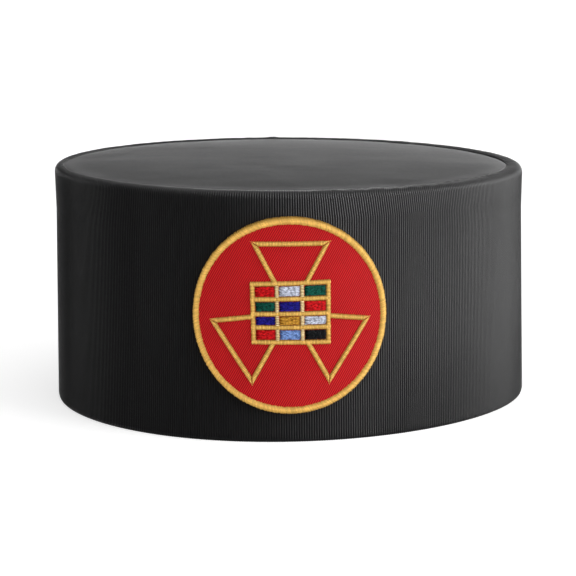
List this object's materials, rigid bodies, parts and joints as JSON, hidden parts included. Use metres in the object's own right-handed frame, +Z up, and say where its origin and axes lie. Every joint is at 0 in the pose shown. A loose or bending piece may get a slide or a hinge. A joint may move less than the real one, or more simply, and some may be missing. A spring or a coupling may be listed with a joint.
{
  "type": "masonic crown cap",
  "caption": "Round black flat-topped crown cap with a rolled rim, open underneath, and a round red badge with gold triangles and a breastplate of coloured stones on its front.",
  "frame": {"origin": "on the ground under the centre of the cap's outer box, level with the hem", "axes": "+Z up through the middle of the crown, -Y out of the front with the badge, +X to the viewer's right"},
  "size_m": [0.181, 0.1924, 0.0902],
  "materials": {
    "black_grosgrain": "fine ribbed cloth with a soft sheen",
    "red_twill": "fine diagonal twill",
    "gold_thread": "satin stitched thread",
    "red_thread": "satin stitched thread",
    "white_thread": "satin stitched thread",
    "green_thread": "satin stitched thread",
    "blue_thread": "satin stitched thread",
    "amber_thread": "satin stitched thread",
    "sky_thread": "satin stitched thread",
    "black_thread": "satin stitched thread"
  },
  "bodies": {
    "root": {"crown_wall": "black_grosgrain", "top_panel": "black_grosgrain", "badge_ground": "red_twill", "badge_border": "gold_thread", "badge_triangle_top": "gold_thread", "badge_triangle_left": "gold_thread", "badge_triangle_right": "gold_thread", "breastplate_frame": "gold_thread", "stone_r1c1": "red_thread", "stone_r1c2": "white_thread", "stone_r1c3": "green_thread", "stone_r2c1": "green_thread", "stone_r2c2": "blue_thread", "stone_r2c3": "red_thread", "stone_r3c1": "blue_thread", "stone_r3c2": "amber_thread", "stone_r3c3": "white_thread", "stone_r4c1": "red_thread", "stone_r4c2": "sky_thread", "stone_r4c3": "black_thread"}
  },
  "joints": []
}
